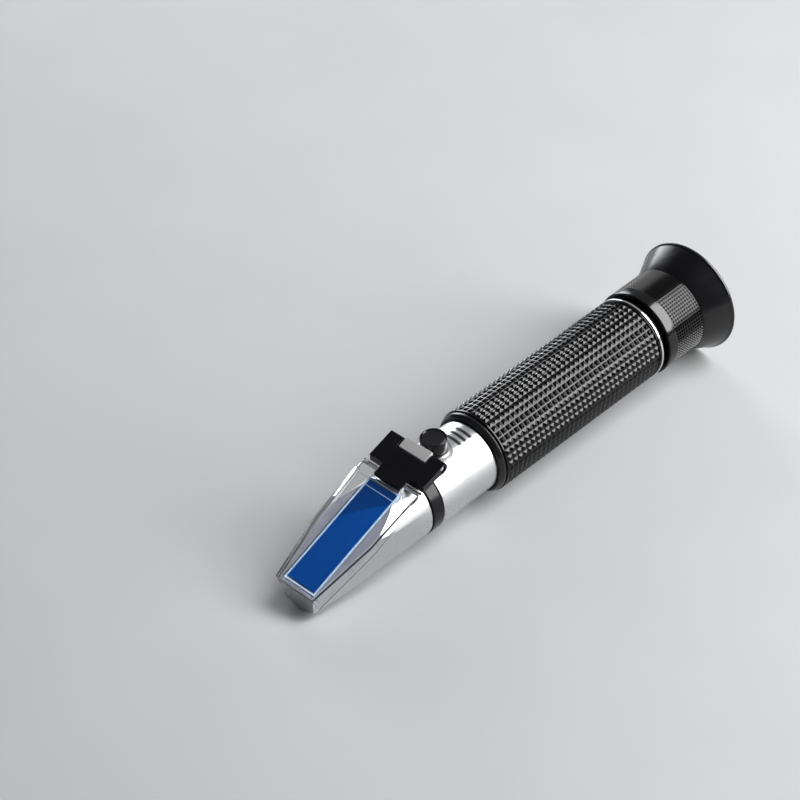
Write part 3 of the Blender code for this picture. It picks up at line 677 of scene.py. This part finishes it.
def boss_mesh():
    """The calibration boss: a stub whose foot flares into the round of the barrel."""
    segs, foot, rise, n = 96, 6.2, 12.15, 12
    bm = bmesh.new()
    rings = []

    def surf(rho, a):
        return sqrt(BARREL_R ** 2 - (rho * sin(a)) ** 2)

    rows = [[(foot, lambda a: surf(foot, a) - 0.9)], [(foot, lambda a: surf(foot, a) - 0.02)]]
    rows = [lambda a: (foot, surf(foot, a) - 0.9)]
    for i in range(n + 1):
        t = i / n
        rho = foot - (foot - BOSS_R) * sin(t * pi / 2)
        g = 1 - cos(t * pi / 2)

        def fn(a, rho=rho, g=g):
            s = surf(rho, a) - 0.02
            return (rho, s + (rise - s) * g ** 1.15)
        rows.append(fn)
    for rr, hh in ((BOSS_R - 0.03, 12.30), (BOSS_R - 0.13, 12.43), (BOSS_R - 0.32, BOSS_TOP), (3.3, BOSS_TOP), (3.05, 12.46),
                   (BUSH_R + GAP, 12.3), (BUSH_R + GAP, 10.6)):
        rows.append(lambda a, rr=rr, hh=hh: (rr, hh))
    for fn in rows:
        ring = []
        for k in range(segs):
            a = 2 * pi * k / segs
            rho, h = fn(a)
            ring.append(bm.verts.new(((CAP_X + rho * cos(a)) * MM, rho * sin(a) * MM, h * MM)))
        rings.append(ring)
    rings.append(rings[0])
    for a, b in zip(rings, rings[1:]):
        for k in range(segs):
            j = (k + 1) % segs
            bm.faces.new((a[k], a[j], b[j], b[k]))
    bmesh.ops.recalc_face_normals(bm, faces=bm.faces)
    return new_object("boss", bm)


cut(barrel, rod("hole", BUSH_R + GAP, 5, 20, 'Z', (CAP_X, 0, 0), 96))
cut(barrel, boss_mesh(), op='UNION')
piece(barrel, "housing", BARREL_CHROME, angle=40, flat_first=True)

bushing = lathe("calibration_bushing", soft([(10.4, 1.9), (10.4, BUSH_R), (BOSS_TOP + 0.6, BUSH_R), (BOSS_TOP + 0.6, 2.9),
                                             (14.3, 2.9), (14.3, 1.9)], [0, 0.1, 0, 0.15, 0.2, 0.1]), 72, 'Z', (CAP_X, 0, 0))
piece(bushing, "housing", BRASS)
screw = lathe("calibration_screw", soft([(10.0, 0.0), (10.0, 1.1), (10.5, 1.55), (14.0, 1.55), (14.0, 0.0)],
                                        [0, 0.1, 0.1, 0.2, 0], closed=False), 64, 'Z', (CAP_X, 0, 0), solid=True)
cut(screw, block("slot", (-2, 2), (-0.3, 0.3), (13.2, 16), at=(CAP_X, 0, 0)))
piece(screw, "calibration_screw", BRASS, flat_first=True)
cap = lathe("calibration_cap",
            soft([(12.85, 3.25), (12.85, 4.1), (16.9, 4.1), (16.9, 3.65), (16.6, 3.45), (16.58, 0.0), (15.2, 0.0), (15.2, 3.25)],
                 [0.1, 0.3, 0.30, 0.12, 0.15, 0, 0, 0.2], n=5), 128, 'Z', (CAP_X, 0, 0), solid=False)
piece(cap, "calibration_cap", CAP_RUBBER)

carrier = lathe("lens_carrier", soft([(-91.5, 6.9), (-91.5, 9.0), (-84.0, 9.0), (-84.0, 5.9), (-85.0, 5.9), (-85.0, 6.9)],
                                     [0.1, 0.25, 0.25, 0.1, 0.1, 0]), 128)
piece(carrier, "housing", ANOD)


def lens(name, x0, x1, r, front_bulge, rear_bulge, body):
    n = 14
    pts = [(x0 - front_bulge * (1 - (i / n) ** 2), r * i / n) for i in range(n + 1)]
    pts += [(x1 + rear_bulge * (1 - (i / n) ** 2), r * i / n) for i in range(n, -1, -1)]
    return piece(lathe(name, pts, 96, solid=True), body, LENS)


lens("objective_lens", -88.3, -86.1, 6.6, 0.9, 0.6, "housing")
piece(lathe("objective_retainer", soft([(-91.2, 5.6), (-91.2, 6.6), (-89.0, 6.6), (-89.0, 5.6)], 0.15), 96), "housing",
      ANOD)
strip = block("bimetal_strip", (-83.7, -72.0), (-2.0, 2.0), (-8.1, -7.5))
bevel(strip, 0.08, 2)
piece(strip, "housing", BIMETAL, flat_first=True)

# ================================ knurls ======================================================
SIDES = ((-1, -1), (0, -1), (1, -1), (1, 0), (1, 1), (0, 1), (-1, 1), (-1, 0))


def knurled(name, x0, x1, rows, cols, floor_r, levels, rest):
    """A sleeve whose outside is a square grid of small pyramids, or of small pits where levels go down.

    levels are (share of the cell, height above the floor) from the cell's edge to its top, and rest is
    the profile that closes the body, from the rear end of the knurl through the bore to its front end.
    """
    bm = bmesh.new()
    hx, ha = (x1 - x0) / rows / 2, pi / cols
    grid = {}

    def vert(x, a, r):
        return bm.verts.new((x * MM, r * sin(a) * MM, r * cos(a) * MM))

    def at_grid(i, j):
        j %= 2 * cols
        if (i, j) not in grid:
            grid[(i, j)] = vert(x0 + hx * i, ha * j, floor_r)
        return grid[(i, j)]

    for i in range(rows):
        for j in range(cols):
            xc, ac = x0 + hx * (2 * i + 1), ha * (2 * j + 1)
            last = [at_grid(2 * i + 1 + a, 2 * j + 1 + b) for a, b in SIDES]
            for q, h in levels:
                now = []
                for a, b in SIDES:
                    ang = b * ha * q
                    r = (floor_r + h) / cos(ang) if (a == 0 or b == 0) else (floor_r + h) / cos(ang)
                    now.append(vert(xc + a * hx * q, ac + ang, r if q < 0.9 else floor_r + h))
                for k in range(8):
                    m = (k + 1) % 8
                    bm.faces.new((last[k], last[m], now[m], now[k]))
                last = now
            bm.faces.new(last)
    n = 2 * cols
    rings = [[at_grid(2 * rows, k) for k in range(n)]]
    for x, r in rest:
        rings.append([vert(x, ha * k, r) for k in range(n)])
    rings.append([at_grid(0, k) for k in range(n)])
    for a, b in zip(rings, rings[1:]):
        for k in range(n):
            m = (k + 1) % n
            bm.faces.new((a[k], a[m], b[m], b[k]))
    bmesh.ops.recalc_face_normals(bm, faces=bm.faces)
    return new_object(name, bm)


GRIP_LEVELS = ((0.84, 0.0), (0.80, 0.022), (0.16, 0.395), (0.10, 0.42), (0.05, 0.43))
floor_r = GRIP_R - 0.43
grip_rest = soft([(-1.62, floor_r), (-1.55, 13.8), (-1.1, 13.8), (-1.1, TUBE_R + GAP), (-69.3, TUBE_R + GAP),
                  (-69.3, BARREL_R + 0.35), (-71.7, BARREL_R + 0.35), (-71.7, 13.8), (-71.0, 13.8), (-70.92, floor_r)],
                 [0, 0.12, 0.2, 0, 0, 0, 0, 0.35, 0.12, 0], closed=False)
grip = knurled("grip_sleeve", -70.9, -1.65, 33, 42, floor_r, GRIP_LEVELS, grip_rest)
piece(grip, "housing", GRIP_RUBBER, angle=24)

FOCUS_LEVELS = ((0.78, 0.0), (0.75, -0.03), (0.40, -0.38), (0.05, -0.66))
ffloor = FOCUS_R - 0.03
focus_rest = soft([(18.62, ffloor), (18.66, FOCUS_R - 0.05), (18.8, FOCUS_R - 0.1), (18.8, 13.35), (17.9, 13.35), (17.9, 8.0), (16.5, 8.0),
                   (16.5, TUBE_R + GAP + 0.1), (5.6, TUBE_R + GAP + 0.1), (5.6, 12.8), (2.4, 12.8), (2.4, FOCUS_R),
                   (6.2, FOCUS_R), (6.26, ffloor)],
                  [0, 0.05, 0.1, 0.15, 0, 0.2, 0.2, 0, 0, 0, 0.2, 0.5, 0.15, 0], closed=False)
focus = knurled("focus_ring", 6.3, 18.6, 12, 84, ffloor, FOCUS_LEVELS, focus_rest)
piece(focus, "focus_ring", FOCUS_RUBBER, angle=24)

# ================================ grip's other rings, tube, eyepiece ============================
piece(lathe("inner_tube", soft([(-82.0, TUBE_BORE), (-82.0, TUBE_R), (13.3, TUBE_R), (13.3, TUBE_BORE)], 0.15), 128), "housing",
      ANOD)
piece(lathe("front_collar", soft([(-73.9, BARREL_R + 0.35), (-73.9, 12.6), (-72.8, 13.3), (-72.0, 13.5), (-72.0, BARREL_R + 0.35)],
                                 [0, 0.35, 0.5, 0.25, 0], n=6), 192), "housing", COLLAR_BLACK)
piece(lathe("grip_end_ring", soft([(-0.8, TUBE_R + GAP), (-0.8, GRIP_R), (0.0, GRIP_R), (0.0, TUBE_R + GAP)], [0, 0.22, 0.22, 0]), 192),
      "housing", RING_CHROME)
piece(lathe("dust_seal", soft([(0.3, TUBE_R + GAP), (0.3, 12.4), (2.1, 12.4), (2.1, TUBE_R + GAP)], [0, 0.3, 0.3, 0]), 128), "housing",
      BRACKET_BLACK)
piece(lathe("reticle_holder", soft([(-24.0, 7.0), (-24.0, 8.7), (-16.0, 8.7), (-16.0, 7.9), (-21.0, 7.9), (-21.0, 7.0)], 0.12), 96),
      "housing", ANOD)
piece(lathe("reticle_disc", soft([(-20.7, 0), (-20.7, 7.6), (-19.2, 7.6), (-19.2, 0)], 0.1, closed=False), 96, solid=True), "housing",
      LENS)
piece(lathe("reticle_retainer", soft([(-18.9, 6.8), (-18.9, 7.6), (-16.4, 7.6), (-16.4, 6.8)], 0.12), 96), "housing",
      ANOD)
cell = lathe("ocular_cell", soft([(0.0, 6.4), (0.0, 8.7), (14.9, 8.7), (14.9, 9.5), (16.2, 9.5), (16.2, 7.4), (1.6, 7.4), (1.6, 6.4)],
                                 [0.1, 0.15, 0, 0.2, 0.25, 0.15, 0, 0.1]), 128)
cut(cell, block("key", (0.4, 6.6), (-1.0, 1.0), (7.9, 12)))
piece(cell, "ocular_cell", ANOD)
piece(lathe("guide_pin", soft([(8.2, 0), (8.2, 0.6), (9.7, 0.6), (9.7, 0)], 0.12, closed=False), 40, 'Z', (4.0, 0, 0), solid=True),
      "housing", PIN_STEEL)
lens("field_lens", 2.9, 4.4, 7.1, 0.9, 0.0, "ocular_cell")
piece(lathe("lens_spacer", soft([(4.9, 6.3), (4.9, 7.1), (8.8, 7.1), (8.8, 6.3)], 0.12), 96), "ocular_cell", ANOD)
lens("eye_lens", 10.2, 12.2, 7.1, 0.9, 0.8, "ocular_cell")
retainer = lathe("ocular_retainer", soft([(13.6, 5.9), (13.6, 7.1), (15.6, 7.1), (15.6, 5.9)], [0, 0.1, 0.15, 0.35]), 96)
cut(retainer, block("s1", (15.0, 16.0), (5.6, 8.0), (-0.5, 0.5)), block("s2", (15.0, 16.0), (-8.0, -5.6), (-0.5, 0.5)))
piece(retainer, "ocular_cell", ANOD, flat_first=True)

cup = soft([(18.2, 8.6), (18.2, 13.0), (19.1, 13.0), (19.1, 14.2), (21.0, 15.25), (24.0, 16.75), (27.6, 18.3), (28.1, CUP_R),
            (28.62, CUP_R), (28.9, 18.55), (28.9, 18.15), (28.6, 17.8), (27.2, 17.15), (24.5, 15.85), (22.0, 14.3), (20.9, 12.6),
            (20.3, 10.5), (19.9, 8.6)],
           [0.15, 0.3, 0, 0.25, 2.5, 4.0, 0.25, 0.12, 0.12, 0.15, 0.2, 0.5, 3.0, 4.0, 2.0, 1.2, 1.5, 0.3], n=6)
piece(lathe("eyecup", cup, 256), "focus_ring", CUP_RUBBER, angle=40)

# ================================ stage, light, camera ==============================================
bm = bmesh.new()
bmesh.ops.create_grid(bm, x_segments=1, y_segments=1, size=6.0)
floor = new_object("floor", bm)
floor.location = (0, 0, cad_lo.z - 0.0002)
floor.data.materials.append(FLOOR.m)

centre = RIG @ Vector((-60 * MM, 0, 0))


def softbox(name, direction, distance, width, height, radiance, color=(1, 1, 1), along=None):
    """An area light facing the instrument; width runs along `along`."""
    d = Vector(direction).normalized()
    data = bpy.data.lights.new(name, 'AREA')
    data.shape, data.size, data.size_y = 'RECTANGLE', width, height
    data.energy = radiance * pi * width * height
    data.color = color
    ob = bpy.data.objects.new(name, data)
    scene.collection.objects.link(ob)
    z = d
    x = Vector(along if along else (1, 0, 0))
    x = (x - z * x.dot(z)).normalized()
    y = z.cross(x).normalized()
    ob.matrix_world = Matrix.Translation(centre + d * distance) @ Matrix((x, y, z)).transposed().to_4x4()
    return ob


softbox("key", (0.54, -0.562, 0.625), 0.95, 0.44, 1.12, 17.0, (1.0, 0.995, 0.985), along=(1, 0, 0))
softbox("back", (0.438, 0.899, 0.13), 0.95, 0.74, 0.38, 9.0, (0.96, 0.98, 1.0), along=(0, 0, 1))
softbox("top", (0.568, 0.42, 0.70), 1.2, 0.9, 1.1, 0.40, (0.97, 0.98, 1.0), along=(1, 0, 0))
softbox("fill", (-0.9, 0.3, 0.45), 1.4, 1.0, 1.0, 0.30, (0.95, 0.97, 1.0))

world = bpy.data.worlds.new("studio")
scene.world = world
world.use_nodes = True
bg = next(n for n in world.node_tree.nodes if n.type == 'BACKGROUND')
bg.inputs["Color"].default_value = (0.85, 0.9, 1.0, 1)
bg.inputs["Strength"].default_value = 0.05

cam_data = bpy.data.cameras.new("camera")
cam_data.lens, cam_data.sensor_width = 121.5, 36.0
cam_data.clip_start, cam_data.clip_end = 0.01, 20.0
cam = bpy.data.objects.new("camera", cam_data)
scene.collection.objects.link(cam)
c_right = Vector((0.69580, -0.71757, -0.03092)).normalized()
c_fwd = Vector((0.52917, 0.54127, -0.65346)).normalized()
c_up = c_right.cross(c_fwd).normalized()
c_pos = Vector((-507.6, -415.0, 540.6)) * MM
cam.matrix_world = RIG @ (Matrix.Translation(c_pos) @ Matrix((c_right, c_up, -c_fwd)).transposed().to_4x4())
scene.camera = cam
scene.view_settings.view_transform = 'Standard'

# ================================ a last update, then the end ============================================
bpy.context.view_layer.update()
